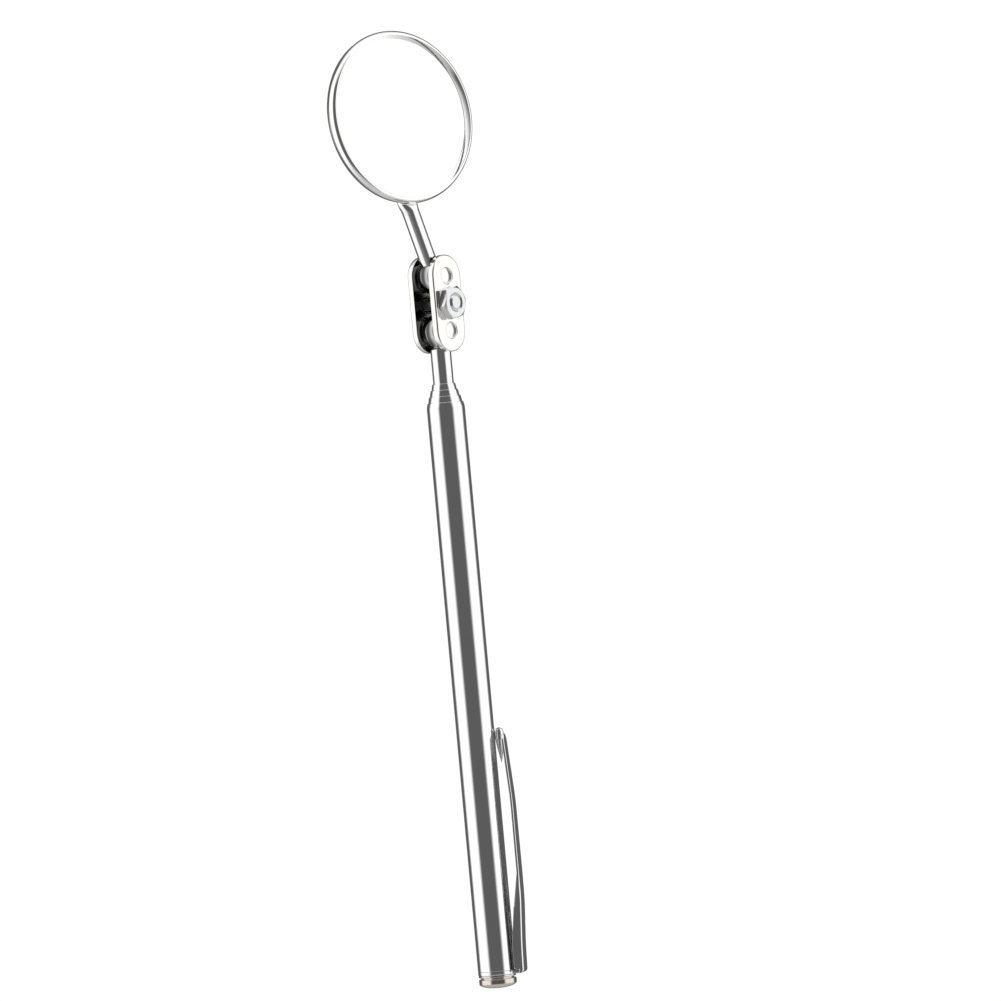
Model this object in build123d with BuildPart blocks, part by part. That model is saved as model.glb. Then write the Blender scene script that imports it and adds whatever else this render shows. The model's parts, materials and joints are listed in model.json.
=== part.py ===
"""Pocket telescopic inspection mirror: four nested draws, a double-ball link and a round mirror.

Millimetres. Z runs up the handle; the origin is the centre of the outer tube's bottom end,
and the pocket clip stands on the +X side.
"""
from build123d import *
from math import cos, radians, sin, sqrt
import os

# Telescopic handle
TUBE_LENGTH = 104.6  # outer tube
TUBE_RADIUS = 3.5
RADIUS_STEP = 0.4  # each draw is this much smaller in radius than the one around it
WALL = 0.22
DRAWS = 3  # section tubes between the outer tube and the rod
DRAW_RISE = 1.15  # how far each closed section stands above the one around it
FIRST_FOOT = 5.2  # height of the first section's lower end
FOOT_RISE = 0.8
MOUTH_HEIGHT = 0.95  # height of the turned-in mouth of every tube
MOUTH_CLEARANCE = 0.03
MOUTH_LIP = 0.1  # metal left at the very edge of the mouth
MOUTH_LAND = 0.4  # straight stretch that guides the next draw
FOOT_HEIGHT = 0.5
FOOT_CLEARANCE = 0.03
SLEEVE_HEIGHT = 8.0
SLEEVE_CLEARANCE = 0.02
SLEEVE_PLAY = 0.1  # end play of a sleeve between its foot and its bead
SLEEVE_SLIT = 0.7
BEAD_HEIGHT = 0.1
BEAD_LENGTH = 0.5
BEAD_RAMP = 0.15

# End plug and the clip's clamped ring
JOINT_GAP = 0.02  # assembly gap between parts that are clamped face to face
RING_THICKNESS = 0.69
PLUG_RADIUS = 3.45
PLUG_FLANGE = 0.4
PLUG_GROOVE_DEPTH = 0.4
PLUG_GROOVE = 0.32
PLUG_CYLINDER = 0.8
PLUG_DOME = 0.95
PLUG_EDGE = 0.08
PLUG_SPIGOT = 4.5
PLUG_SPIGOT_LEAD = (0.4, 0.6)  # lead-in chamfer at the spigot's end, across and along
PLUG_SPIGOT_CLEARANCE = 0.03

# Pocket clip
CLIP_SHEET = 0.45
CLIP_FOOT_OUT = 5.35  # distance of the strap's outer face from the handle's axis: at the foot
CLIP_HEEL_OUT = 5.5
CLIP_BOW_OUT = 6.05
CLIP_TIP_OUT = 5.35
CLIP_HEEL = 4.6  # heights where the strap bends: out from the heel, and in towards the tip
CLIP_BOW_LOW = 13.0
CLIP_BOW_HIGH = 31.0
CLIP_TOP = 43.2
CLIP_WIDTH = 4.4
CLIP_TIP_WIDTH = 3.3
CLIP_FLANGE_TOP = 17.5
CLIP_FLANGE_FULL = 10.9
CLIP_FLANGE_GAP = 0.12  # between the flanges and the tube at the heel
CLIP_FLANGE_FLARE = 0.8  # the flanges' edges stand this much further off at full height
CLIP_TAB_END = 4.4
CLIP_TAB_GAP = 0.1
CLIP_BEND = 0.7
TEAR_RADIUS = 0.84  # teardrop dimple that presses on the tube
TEAR_LENGTH = 6.6
TEAR_RISE = 1.2  # how far the dimple stands above the strap's tip
TEAR_GAP = 0.04

# Double-ball link
LOWER_BALL_Z = 117.6
BALL_SPACING = 10.0
BALL_RADIUS = 3.2
SEAT_CLEARANCE = 0.03
PLATE_GAP = 3.86
PLATE_THICKNESS = 1.2
PLATE_WIDTH = 7.8
PLATE_WINDOW = 1.55  # radius of the window over each ball
PLATE_EDGE = 0.3
LINK_TURN = -30.0  # direction of the plates' normal about Z, degrees from +X
ROD_SHOULDER = 3.3  # the rod's full diameter ends this far below the ball's centre
ROD_TAPER = 0.4
NECK_RADIUS = 1.5
SPIGOT_RADIUS = 1.0
SPIGOT_DEPTH = 2.2  # how far a stem's spigot reaches past the ball's flat
SPIGOT_CLEARANCE = 0.02
BORE_RELIEF = 0.1  # the ball's bore is this much deeper than the spigot

# Pinch screw (M3) and nut
SCREW_RADIUS = 1.46
SCREW_HOLE = 1.6
SCREW_HEAD_RADIUS = 2.8
SCREW_HEAD_HEIGHT = 1.5
SCREW_SLOT_WIDTH = 0.7
SCREW_SLOT_DEPTH = 0.7
SCREW_HEAD_SIDE = 0.35  # straight side of the head under its dome
SCREW_SLOT_TURN = 35.0
SCREW_END = 0.1  # thread standing out of the nut
SCREW_POINT = 0.35  # chamfer at the thread's end
THREAD_PITCH = 0.5
THREAD_DEPTH = 0.16
THREAD_TURNS = 5  # turns cut at the screw's end
THREAD_PLAY = 0.05
NUT_ACROSS_FLATS = 5.5
NUT_THICKNESS = 1.6
NUT_CHAMFER = 0.3
NUT_FACE_INSET = 0.1  # the flat faces end this far inside the flats
NUT_TURN = 12.0

# Mirror head
STEM_SWING = 21.85  # the stem's swing from the link's line, in the plates' plane
STEM_RADIUS = 1.6
STEM_REACH = 14.6  # ball centre to the foot of the rim
MIRROR_AZIMUTH = -42.1  # direction the mirror faces, degrees from +X
MIRROR_ELEVATION = 5.75
FOOT_RADIUS = 15.93  # distance of the stem's line from the mirror's axis at the foot
FOOT_SETBACK = 1.6  # how far behind the cup's middle plane the stem's line passes the rim
CUP_RADIUS = 16.0  # the rim is widest at the cup's middle plane
CUP_BACK_RADIUS = 15.85
CUP_DEPTH = 2.5
CUP_SHEET = 0.3
CUP_CORNER = 0.6
CUP_INNER_CORNER = 0.3
CROWN_WIDTH = 0.8  # the rim is hemmed over onto the glass: widest place to crown
CROWN_ROUND = 0.12
LIP_WIDTH = 1.5  # from the widest place to the hem's inner edge
LIP_HEIGHT = 1.0
PAD_RADIUS = 14.6
PAD_THICKNESS = 0.2
PAD_GAP = 0.01
GLASS_RADIUS = 15.45
GLASS_BEVEL = 0.2
GLASS_GAP = 0.02
TONGUE_WIDTH = 4.4
TONGUE_THICKNESS = 1.1
TONGUE_CORNER = 0.3
TONGUE_INNER = 8.5  # the tongue's rounded end, from the mirror's axis
TONGUE_OUTER = 15.0  # where the round stem has become the flat tongue
STEM_FLATTENING = 1.4  # the stem starts to flatten this far below the rim

UP = Vector(0, 0, 1)
PLATE_NORMAL = Vector(cos(radians(LINK_TURN)), sin(radians(LINK_TURN)), 0)
LINK_SIDE = PLATE_NORMAL.cross(UP)  # the way the stem swings at rest
LOWER_BALL = Vector(0, 0, LOWER_BALL_Z)
UPPER_BALL = LOWER_BALL + UP * BALL_SPACING
LINK_MIDDLE = LOWER_BALL + UP * (BALL_SPACING / 2)
STEM_DIRECTION = UP * cos(radians(STEM_SWING)) + LINK_SIDE * sin(radians(STEM_SWING))

MIRROR_NORMAL = Vector(
    cos(radians(MIRROR_ELEVATION)) * cos(radians(MIRROR_AZIMUTH)),
    cos(radians(MIRROR_ELEVATION)) * sin(radians(MIRROR_AZIMUTH)),
    sin(radians(MIRROR_ELEVATION)),
)
MIRROR_SIDE = UP.cross(MIRROR_NORMAL).normalized()
MIRROR_UP = MIRROR_NORMAL.cross(MIRROR_SIDE)
STEM_FOOT = UPPER_BALL + STEM_DIRECTION * STEM_REACH
MIRROR_CENTRE = STEM_FOOT + MIRROR_NORMAL * FOOT_SETBACK + MIRROR_UP * FOOT_RADIUS

SLEEVE_START = FOOT_HEIGHT + SLEEVE_PLAY
BEAD_START = SLEEVE_START + SLEEVE_HEIGHT + SLEEVE_PLAY


def meridian(origin, direction, across):
    """Half-section plane: local x points away from an axis, local y runs along it."""
    return Plane(origin=origin, x_dir=across, z_dir=across.cross(direction))


def draw_radius(number):
    """Outer radius of draw 0 (outer tube), 1 to 3 (section tubes) or 4 (rod)."""
    return TUBE_RADIUS - RADIUS_STEP * number


def draw_foot(number):
    """Height of a draw's lower end when the handle is closed."""
    return FIRST_FOOT + FOOT_RISE * (number - 1)


def foot_profile(radius, foot):
    """Outer points of a draw's lower end: foot, seat for the spring sleeve, and bead."""
    flare = radius + RADIUS_STEP - WALL - FOOT_CLEARANCE
    bead = foot + BEAD_START
    return [
        (flare, foot),
        (flare, foot + FOOT_HEIGHT),
        (radius, foot + FOOT_HEIGHT),
        (radius, bead),
        (radius + BEAD_HEIGHT, bead + BEAD_RAMP),
        (radius + BEAD_HEIGHT, bead + BEAD_LENGTH - BEAD_RAMP),
        (radius, bead + BEAD_LENGTH),
    ]


def telescope_tube(number):
    """Thin drawn tube whose mouth is turned in to guide the next draw."""
    radius = draw_radius(number)
    top = TUBE_LENGTH + DRAW_RISE * number
    if number:
        outside = foot_profile(radius, draw_foot(number))
    else:
        outside = [(radius, 0)]
    mouth_radius = draw_radius(number + 1) + MOUTH_CLEARANCE
    shoulder = (radius, top - MOUTH_HEIGHT)
    edge = (mouth_radius + MOUTH_LIP, top)
    inside = [
        edge,
        (mouth_radius, top),
        (mouth_radius, top - MOUTH_LAND),
        (radius - WALL, top - MOUTH_HEIGHT - MOUTH_LIP),
        (radius - WALL, outside[0][1]),
        outside[0],
    ]
    with BuildPart() as tube:
        with BuildSketch(Plane.XZ):
            with BuildLine():
                Polyline(*outside, shoulder)
                TangentArc(shoulder, edge, tangent=(0, 1))
                Polyline(*inside)
            make_face()
        revolve(axis=Axis.Z)
    return tube.part


def friction_sleeve(number):
    """Split spring sleeve that rides on a draw's foot and rubs in the tube around it."""
    inner = draw_radius(number) + SLEEVE_CLEARANCE
    outer = draw_radius(number - 1) - WALL - SLEEVE_CLEARANCE
    start = draw_foot(number) + SLEEVE_START
    with BuildPart() as sleeve:
        with BuildSketch(Plane.XY.offset(start)):
            Circle(outer)
            Circle(inner, mode=Mode.SUBTRACT)
            with Locations((-outer, 0)):
                Rectangle(outer, SLEEVE_SLIT, mode=Mode.SUBTRACT)
        extrude(amount=SLEEVE_HEIGHT)
    return sleeve.part


def link_ball(centre, stem_side, across, flat_radius):
    """Steel ball with a flat and a blind bore on the side where its stem comes in."""
    flat = sqrt(BALL_RADIUS**2 - flat_radius**2)
    bore = SPIGOT_RADIUS + SPIGOT_CLEARANCE
    bottom = flat - SPIGOT_DEPTH - BORE_RELIEF
    with BuildPart() as ball:
        with BuildSketch(meridian(centre, stem_side, across)):
            with BuildLine():
                ThreePointArc((0, -BALL_RADIUS), (BALL_RADIUS, 0), (flat_radius, flat))
                Polyline((flat_radius, flat), (bore, flat), (bore, bottom), (0, bottom), (0, -BALL_RADIUS))
            make_face()
        revolve(axis=Axis(centre, stem_side))
    return ball.part


def link_plate(side):
    """Slotted-shape clamp plate with a spherical seat and a window at each ball."""
    outward = PLATE_NORMAL * side
    inner_face = Plane(origin=LINK_MIDDLE + outward * (PLATE_GAP / 2), x_dir=UP, z_dir=outward)
    with BuildPart() as plate:
        with BuildSketch(inner_face):
            SlotCenterToCenter(BALL_SPACING, PLATE_WIDTH)
        extrude(amount=PLATE_THICKNESS)
        fillet(plate.faces().sort_by(Axis(LINK_MIDDLE, outward))[-1].edges(), PLATE_EDGE)
        with BuildSketch(inner_face):
            Circle(SCREW_HOLE)
        extrude(amount=PLATE_THICKNESS, mode=Mode.SUBTRACT)
        seat = BALL_RADIUS + SEAT_CLEARANCE
        seat_end = sqrt(seat**2 - PLATE_WINDOW**2)
        window_end = PLATE_GAP / 2 + 1.5 * PLATE_THICKNESS
        for ball in (LOWER_BALL, UPPER_BALL):
            with BuildSketch(meridian(ball, outward, UP)):
                with BuildLine():
                    RadiusArc((seat, 0), (PLATE_WINDOW, seat_end), -seat)
                    Polyline(
                        (PLATE_WINDOW, seat_end),
                        (PLATE_WINDOW, window_end),
                        (0, window_end),
                        (0, 0),
                        (seat, 0),
                    )
                make_face()
            revolve(axis=Axis(ball, outward), mode=Mode.SUBTRACT)
    return plate.part


os.makedirs("parts", exist_ok=True)


def save(part, name):
    part.label = name
    export_step(part, f"parts/{name}.step")


# ---- Handle ----
save(telescope_tube(0), "outer_tube")

for draw in range(1, DRAWS + 1):
    save(telescope_tube(draw), f"section_tube_{draw}")

for draw in range(1, DRAWS + 2):
    save(friction_sleeve(draw), f"friction_sleeve_{draw}")

ROD = DRAWS + 1
ROD_RADIUS = draw_radius(ROD)
LOWER_FLAT = LOWER_BALL_Z - sqrt(BALL_RADIUS**2 - NECK_RADIUS**2)
ROD_TOP = LOWER_BALL_Z - ROD_SHOULDER

with BuildPart() as inner_rod:
    with BuildSketch(Plane.XZ):
        with BuildLine():
            Polyline(
                (0, draw_foot(ROD)),
                *foot_profile(ROD_RADIUS, draw_foot(ROD)),
                (ROD_RADIUS, ROD_TOP),
                (NECK_RADIUS, ROD_TOP + ROD_TAPER),
                (NECK_RADIUS, LOWER_FLAT - JOINT_GAP),
                (SPIGOT_RADIUS, LOWER_FLAT - JOINT_GAP),
                (SPIGOT_RADIUS, LOWER_FLAT + SPIGOT_DEPTH),
                (0, LOWER_FLAT + SPIGOT_DEPTH),
                close=True,
            )
        make_face()
    revolve(axis=Axis.Z)
save(inner_rod.part, "inner_rod")

RING_TOP = -JOINT_GAP
RING_BOTTOM = RING_TOP - RING_THICKNESS
BORE = TUBE_RADIUS - WALL
TAB_WIDTH = CLIP_WIDTH - 2 * CLIP_SHEET - 3 * CLIP_TAB_GAP

with BuildPart() as clip_ring:
    with BuildSketch(Plane.XY.offset(RING_BOTTOM)):
        Circle(TUBE_RADIUS)
        with Locations((CLIP_TAB_END / 2, 0)):
            Rectangle(CLIP_TAB_END, TAB_WIDTH)
        Circle(BORE, mode=Mode.SUBTRACT)
    extrude(amount=RING_THICKNESS)
save(clip_ring.part, "clip_ring")

PLUG_TOP = RING_BOTTOM - JOINT_GAP
GROOVE_TOP = PLUG_TOP - PLUG_FLANGE
GROOVE_BOTTOM = GROOVE_TOP - PLUG_GROOVE
DOME_TOP = GROOVE_BOTTOM - PLUG_CYLINDER
SPIGOT = BORE - PLUG_SPIGOT_CLEARANCE
LEAD_ACROSS, LEAD_ALONG = PLUG_SPIGOT_LEAD

with BuildPart() as end_plug:
    with BuildSketch(Plane.XZ):
        with BuildLine():
            Polyline(
                (0, DOME_TOP - PLUG_DOME),
                (0, PLUG_SPIGOT),
                (SPIGOT - LEAD_ACROSS, PLUG_SPIGOT),
                (SPIGOT, PLUG_SPIGOT - LEAD_ALONG),
                (SPIGOT, PLUG_TOP),
                (PLUG_RADIUS - PLUG_EDGE, PLUG_TOP),
                (PLUG_RADIUS, PLUG_TOP - PLUG_EDGE),
                (PLUG_RADIUS, GROOVE_TOP),
                (PLUG_RADIUS - PLUG_GROOVE_DEPTH, GROOVE_TOP),
                (PLUG_RADIUS - PLUG_GROOVE_DEPTH, GROOVE_BOTTOM),
                (PLUG_RADIUS, GROOVE_BOTTOM),
                (PLUG_RADIUS, DOME_TOP),
            )
            Spline(
                (PLUG_RADIUS, DOME_TOP),
                (0.62 * PLUG_RADIUS, DOME_TOP - 0.72 * PLUG_DOME),
                (0, DOME_TOP - PLUG_DOME),
                tangents=[(0, -1), (-1, 0)],
            )
        make_face()
    revolve(axis=Axis.Z)
save(end_plug.part, "end_plug")

# ---- Pocket clip ----
FLANGE_EDGE = TUBE_RADIUS + CLIP_FLANGE_GAP
FLANGE_FOOT = 0.15
CLIP_FOOT_IN = CLIP_TAB_END + CLIP_TAB_GAP
FLANGE_IN = TUBE_RADIUS - 0.5  # the space between the flanges is cut from here outwards
TEAR_X = TUBE_RADIUS + TEAR_GAP + TEAR_RADIUS
TEAR_TOP = CLIP_TOP + TEAR_RISE
TIP_SHOULDER = CLIP_TOP - CLIP_TIP_WIDTH / 2

with BuildPart() as pocket_clip:
    with BuildSketch(Plane.XZ):
        with BuildLine():
            Polyline(
                (CLIP_FOOT_IN, RING_BOTTOM),
                (CLIP_FOOT_OUT, RING_BOTTOM),
                (CLIP_HEEL_OUT, CLIP_HEEL),
                (CLIP_BOW_OUT, CLIP_BOW_LOW),
                (CLIP_BOW_OUT, CLIP_BOW_HIGH),
                (CLIP_TIP_OUT, CLIP_TOP),
                (CLIP_TIP_OUT - CLIP_SHEET, CLIP_TOP),
                (CLIP_BOW_OUT - CLIP_SHEET, CLIP_BOW_HIGH),
                (CLIP_BOW_OUT - CLIP_SHEET, CLIP_FLANGE_TOP),
                (FLANGE_EDGE + CLIP_FLANGE_FLARE, CLIP_FLANGE_FULL),
                (FLANGE_EDGE, CLIP_HEEL),
                (FLANGE_EDGE, FLANGE_FOOT),
                (CLIP_FOOT_IN, FLANGE_FOOT),
                close=True,
            )
        make_face()
    extrude(amount=CLIP_WIDTH / 2, both=True)
    fillet(pocket_clip.edges().filter_by(Axis.Y).group_by(Axis.Z)[0].sort_by(Axis.X)[-1], CLIP_BEND)
    with BuildSketch(Plane.YZ):
        with BuildLine():
            Polyline(
                (-CLIP_TIP_WIDTH / 2, TIP_SHOULDER),
                (-CLIP_WIDTH / 2, CLIP_FLANGE_FULL),
                (-CLIP_WIDTH / 2, RING_BOTTOM),
                (CLIP_WIDTH / 2, RING_BOTTOM),
                (CLIP_WIDTH / 2, CLIP_FLANGE_FULL),
                (CLIP_TIP_WIDTH / 2, TIP_SHOULDER),
            )
            ThreePointArc(
                (CLIP_TIP_WIDTH / 2, TIP_SHOULDER),
                (0, CLIP_TOP),
                (-CLIP_TIP_WIDTH / 2, TIP_SHOULDER),
            )
        make_face()
    extrude(amount=CLIP_BOW_OUT, mode=Mode.INTERSECT)
    with BuildSketch(Plane.XZ):
        with BuildLine():
            Polyline(
                (FLANGE_IN, FLANGE_FOOT),
                (CLIP_FOOT_IN, FLANGE_FOOT),
                (CLIP_HEEL_OUT - CLIP_SHEET, FLANGE_FOOT + 1),
                (CLIP_HEEL_OUT - CLIP_SHEET, CLIP_HEEL),
                (CLIP_BOW_OUT - CLIP_SHEET, CLIP_BOW_LOW),
                (CLIP_BOW_OUT - CLIP_SHEET, CLIP_FLANGE_TOP),
                (FLANGE_IN, CLIP_FLANGE_TOP + 1),
                close=True,
            )
        make_face()
    extrude(amount=CLIP_WIDTH / 2 - CLIP_SHEET, both=True, mode=Mode.SUBTRACT)
    with BuildSketch(Plane.YZ.offset(TEAR_X)):
        with BuildLine():
            RadiusArc((0, TEAR_TOP), (TEAR_RADIUS, TEAR_TOP - TEAR_RADIUS), TEAR_RADIUS)
            TangentArc((TEAR_RADIUS, TEAR_TOP - TEAR_RADIUS), (0, TEAR_TOP - TEAR_LENGTH), tangent=(0, -1))
            Line((0, TEAR_TOP - TEAR_LENGTH), (0, TEAR_TOP))
        make_face()
    revolve(axis=Axis((TEAR_X, 0, 0), (0, 0, 1)))
save(pocket_clip.part, "pocket_clip")

# ---- Double-ball link ----
save(link_ball(LOWER_BALL, UP * -1, PLATE_NORMAL, NECK_RADIUS), "lower_ball")
save(link_ball(UPPER_BALL, STEM_DIRECTION, PLATE_NORMAL, STEM_RADIUS), "upper_ball")
save(link_plate(1), "front_plate")
save(link_plate(-1), "rear_plate")

PLATE_FACE = PLATE_GAP / 2 + PLATE_THICKNESS
NUT_BASE = PLATE_FACE + JOINT_GAP
NUT_TOP = NUT_BASE + NUT_THICKNESS
HEAD_BASE = -PLATE_FACE - JOINT_GAP
THREAD_TOP = NUT_TOP + SCREW_END

with BuildPart() as pinch_screw:
    with BuildSketch(meridian(LINK_MIDDLE, PLATE_NORMAL, UP)):
        with BuildLine():
            thread = []
            for turn in range(THREAD_TURNS):
                crest = THREAD_TOP - SCREW_POINT - THREAD_PITCH * turn
                thread += [(SCREW_RADIUS, crest), (SCREW_RADIUS - THREAD_DEPTH, crest - THREAD_PITCH / 2)]
            Polyline(
                (0, THREAD_TOP),
                (SCREW_RADIUS - SCREW_POINT, THREAD_TOP),
                *thread,
                (SCREW_RADIUS, thread[-1][1] - THREAD_PITCH / 2),
                (SCREW_RADIUS, HEAD_BASE),
                (SCREW_HEAD_RADIUS, HEAD_BASE),
                (SCREW_HEAD_RADIUS, HEAD_BASE - SCREW_HEAD_SIDE),
            )
            Spline(
                (SCREW_HEAD_RADIUS, HEAD_BASE - SCREW_HEAD_SIDE),
                (0.66 * SCREW_HEAD_RADIUS, HEAD_BASE - 0.82 * SCREW_HEAD_HEIGHT),
                (0, HEAD_BASE - SCREW_HEAD_HEIGHT),
                tangents=[(0, -1), (-1, 0)],
            )
            Line((0, HEAD_BASE - SCREW_HEAD_HEIGHT), (0, THREAD_TOP))
        make_face()
    revolve(axis=Axis(LINK_MIDDLE, PLATE_NORMAL))
    slot_floor = LINK_MIDDLE + PLATE_NORMAL * (HEAD_BASE - SCREW_HEAD_HEIGHT + SCREW_SLOT_DEPTH)
    slot_direction = UP.rotate(Axis((0, 0, 0), PLATE_NORMAL), SCREW_SLOT_TURN)
    with BuildSketch(Plane(origin=slot_floor, x_dir=slot_direction, z_dir=PLATE_NORMAL * -1)):
        Rectangle(3 * SCREW_HEAD_RADIUS, SCREW_SLOT_WIDTH)
    extrude(amount=SCREW_SLOT_DEPTH * 2, mode=Mode.SUBTRACT)
save(pinch_screw.part, "pinch_screw")

NUT_AXIS_X = UP.rotate(Axis((0, 0, 0), PLATE_NORMAL), NUT_TURN)
NUT_FACE = NUT_ACROSS_FLATS / 2 - NUT_FACE_INSET
NUT_CORNER = NUT_ACROSS_FLATS / sqrt(3)

with BuildPart() as hex_nut:
    nut_base = LINK_MIDDLE + PLATE_NORMAL * NUT_BASE
    with BuildSketch(Plane(origin=nut_base, x_dir=NUT_AXIS_X, z_dir=PLATE_NORMAL)):
        RegularPolygon(NUT_ACROSS_FLATS / 2, 6, major_radius=False)
        Circle(SCREW_RADIUS + THREAD_PLAY, mode=Mode.SUBTRACT)
    extrude(amount=NUT_THICKNESS)
    with BuildSketch(meridian(nut_base, PLATE_NORMAL, UP)):
        with BuildLine():
            Polyline(
                (0, 0),
                (NUT_FACE, 0),
                (NUT_CORNER, NUT_CHAMFER),
                (NUT_CORNER, NUT_THICKNESS - NUT_CHAMFER),
                (NUT_FACE, NUT_THICKNESS),
                (0, NUT_THICKNESS),
                close=True,
            )
        make_face()
    revolve(axis=Axis(nut_base, PLATE_NORMAL), mode=Mode.INTERSECT)
save(hex_nut.part, "hex_nut")

# ---- Mirror head ----
HEAD_SECTION = meridian(MIRROR_CENTRE, MIRROR_NORMAL, MIRROR_SIDE)
HEAD_AXIS = Axis(MIRROR_CENTRE, MIRROR_NORMAL)
BACK = -CUP_DEPTH / 2
FRONT = CUP_DEPTH / 2
FLOOR = BACK + CUP_SHEET
LIP_UNDER = FRONT - LIP_HEIGHT
INSIDE = CUP_BACK_RADIUS - CUP_SHEET
CROWN = CUP_RADIUS - CROWN_WIDTH
VISIBLE = CUP_RADIUS - LIP_WIDTH

with BuildPart() as mirror_cup:
    with BuildSketch(HEAD_SECTION):
        with BuildLine():
            back_corner = (CUP_BACK_RADIUS, BACK + CUP_CORNER)
            Polyline((0, FLOOR), (0, BACK), (CUP_BACK_RADIUS - CUP_CORNER, BACK))
            RadiusArc((CUP_BACK_RADIUS - CUP_CORNER, BACK), back_corner, -CUP_CORNER)
            Line(back_corner, (CUP_RADIUS, 0))
            Spline((CUP_RADIUS, 0), (CROWN, FRONT), tangents=[(0, 1), (-1, 0)])
            Polyline(
                (CROWN, FRONT),
                (CROWN - CROWN_ROUND, FRONT - CROWN_ROUND / 2),
                (VISIBLE, LIP_UNDER),
                (INSIDE, LIP_UNDER),
                (INSIDE, FLOOR + CUP_INNER_CORNER),
                (INSIDE - CUP_INNER_CORNER, FLOOR),
                (0, FLOOR),
            )
        make_face()
    revolve(axis=HEAD_AXIS)
save(mirror_cup.part, "mirror_cup")

PAD_BOTTOM = FLOOR + PAD_GAP
PAD_TOP = PAD_BOTTOM + PAD_THICKNESS
with BuildPart() as backing_pad:
    with BuildSketch(HEAD_SECTION):
        with BuildLine():
            Polyline(
                (0, PAD_BOTTOM),
                (PAD_RADIUS, PAD_BOTTOM),
                (PAD_RADIUS, PAD_TOP),
                (0, PAD_TOP),
                close=True,
            )
        make_face()
    revolve(axis=HEAD_AXIS)
save(backing_pad.part, "backing_pad")

GLASS_BACK = PAD_TOP + PAD_GAP
GLASS_FRONT = LIP_UNDER - GLASS_GAP
with BuildPart() as mirror_glass:
    with BuildSketch(HEAD_SECTION):
        with BuildLine():
            Polyline(
                (0, GLASS_BACK),
                (GLASS_RADIUS - GLASS_BEVEL, GLASS_BACK),
                (GLASS_RADIUS, GLASS_BACK + GLASS_BEVEL),
                (GLASS_RADIUS, GLASS_FRONT - GLASS_BEVEL),
                (GLASS_RADIUS - GLASS_BEVEL, GLASS_FRONT),
                (0, GLASS_FRONT),
                close=True,
            )
        make_face()
    revolve(axis=HEAD_AXIS)
save(mirror_glass.part, "mirror_glass")

STEM_FLAT = sqrt(BALL_RADIUS**2 - STEM_RADIUS**2) + JOINT_GAP
STEM_STRAIGHT = STEM_REACH - STEM_FLATTENING
TONGUE_MIDDLE = BACK - JOINT_GAP - TONGUE_THICKNESS / 2
SEAT_FACE = BACK - JOINT_GAP / 2  # the stem is cut away here to seat around the cup's edge
ACROSS_STEM = PLATE_NORMAL


def tongue_section(distance):
    """Plane square to the tongue, at a distance from the mirror's axis."""
    origin = MIRROR_CENTRE + MIRROR_NORMAL * TONGUE_MIDDLE - MIRROR_UP * distance
    return Plane(origin=origin, x_dir=MIRROR_SIDE, z_dir=MIRROR_UP)


with BuildPart() as mirror_stem:
    stem_end = UPPER_BALL + STEM_DIRECTION * STEM_STRAIGHT
    with BuildSketch(meridian(UPPER_BALL, STEM_DIRECTION, ACROSS_STEM)):
        with BuildLine():
            Polyline(
                (0, STEM_FLAT - SPIGOT_CLEARANCE - SPIGOT_DEPTH),
                (SPIGOT_RADIUS, STEM_FLAT - SPIGOT_CLEARANCE - SPIGOT_DEPTH),
                (SPIGOT_RADIUS, STEM_FLAT),
                (STEM_RADIUS, STEM_FLAT),
                (STEM_RADIUS, STEM_STRAIGHT),
                (0, STEM_STRAIGHT),
                close=True,
            )
        make_face()
    revolve(axis=Axis(UPPER_BALL, STEM_DIRECTION))
    with BuildSketch(Plane(origin=stem_end, x_dir=ACROSS_STEM, z_dir=STEM_DIRECTION)):
        Circle(STEM_RADIUS)
    with BuildSketch(tongue_section(TONGUE_OUTER)):
        RectangleRounded(TONGUE_WIDTH, TONGUE_THICKNESS, TONGUE_CORNER)
    loft()
    with BuildSketch(Plane(origin=MIRROR_CENTRE + MIRROR_NORMAL * SEAT_FACE, z_dir=MIRROR_NORMAL)):
        Circle(CUP_RADIUS + JOINT_GAP)
    extrude(amount=CUP_DEPTH, mode=Mode.SUBTRACT)
    tongue_plane = Plane(
        origin=MIRROR_CENTRE + MIRROR_NORMAL * (TONGUE_MIDDLE - TONGUE_THICKNESS / 2),
        x_dir=MIRROR_SIDE,
        z_dir=MIRROR_NORMAL,
    )
    with BuildSketch(tongue_plane):
        with Locations((0, -(TONGUE_OUTER + TONGUE_INNER) / 2)):
            Rectangle(TONGUE_WIDTH, TONGUE_OUTER - TONGUE_INNER)
        with Locations((0, -TONGUE_INNER)):
            Circle(TONGUE_WIDTH / 2)
    extrude(amount=TONGUE_THICKNESS)
save(mirror_stem.part, "mirror_stem")
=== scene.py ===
"""Looks of the pocket telescopic inspection mirror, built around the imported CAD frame.

Helpers work in millimetres in the CAD frame; mesh_piece() turns them into metres.
"""
import json
from math import atan2, cos, pi, radians, sin, sqrt, tan

import bmesh
import bpy
from mathutils import Matrix, Vector
from mathutils.geometry import tessellate_polygon


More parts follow.
